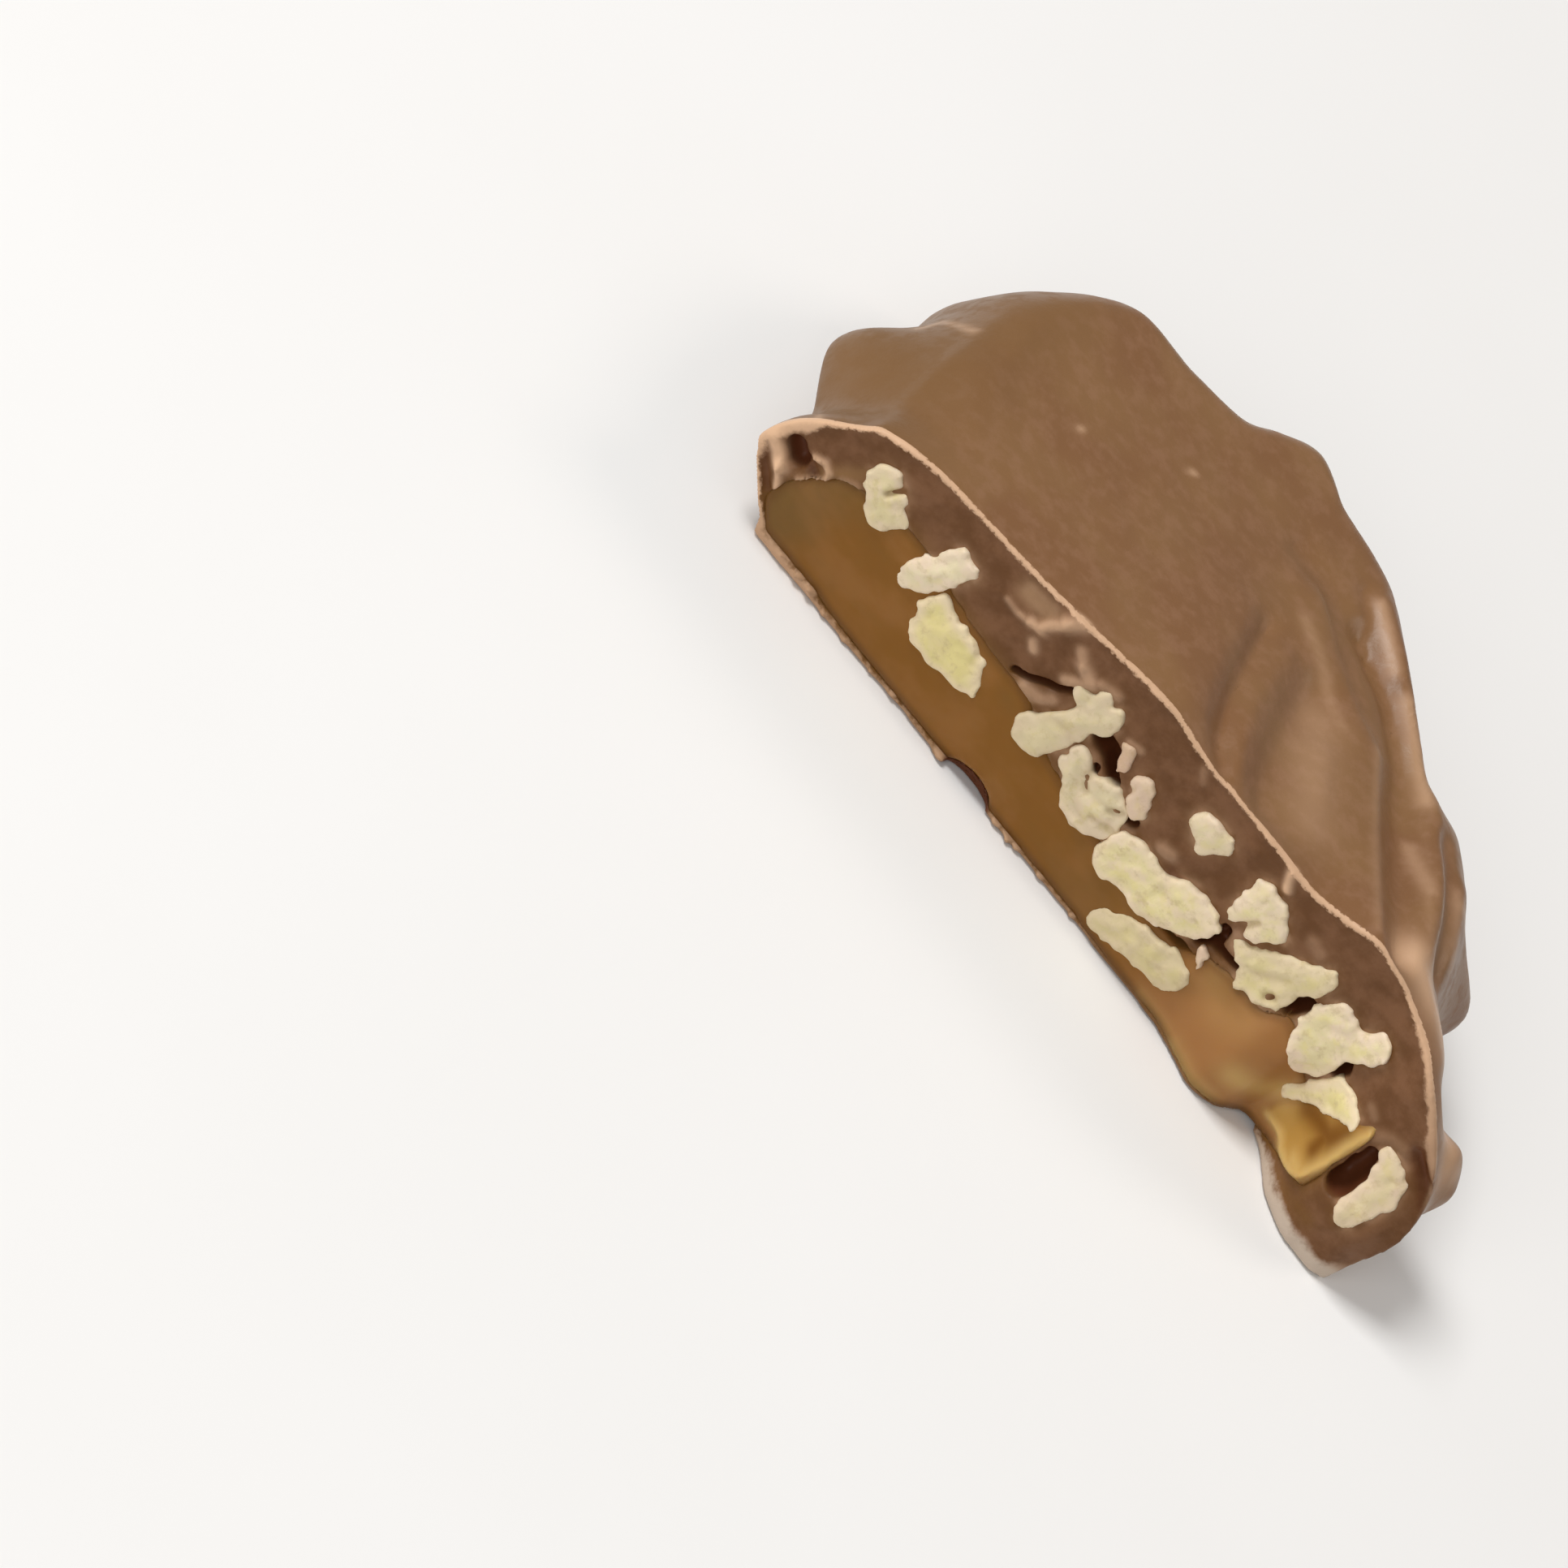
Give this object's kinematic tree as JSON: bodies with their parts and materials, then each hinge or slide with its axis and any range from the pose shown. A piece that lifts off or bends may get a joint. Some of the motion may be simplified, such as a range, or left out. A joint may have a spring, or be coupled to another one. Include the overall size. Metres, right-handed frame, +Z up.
{
  "type": "pecan caramel chocolate patty half",
  "caption": "Half of a chocolate-coated patty, cut across to show its caramel layer and the pecan pieces in it.",
  "frame": {"origin": "middle of the half's box at its bottom, on the flat foot that it lies on", "axes": "+X along the cut towards the end that broke off ragged, +Y from the cut face into the food towards the rim, +Z up out of the smooth top"},
  "size_m": [0.069, 0.0432, 0.0182],
  "materials": {
    "chocolate": "milk chocolate with a satin bloom, smoother on the outside than on the cut",
    "caramel": "soft amber caramel, glossy where the knife passed",
    "pecan": "pale cut nut flesh, matte with a faint oily sheen"
  },
  "bodies": {
    "root": {"chocolate_coat": "chocolate", "caramel": "caramel", "pecan_01": "pecan", "pecan_02": "pecan", "pecan_03": "pecan", "pecan_04": "pecan", "pecan_05": "pecan", "pecan_06": "pecan", "pecan_07": "pecan", "pecan_08": "pecan", "pecan_09": "pecan", "pecan_10": "pecan", "pecan_11": "pecan", "pecan_12": "pecan", "pecan_13": "pecan", "pecan_14": "pecan"}
  },
  "joints": []
}
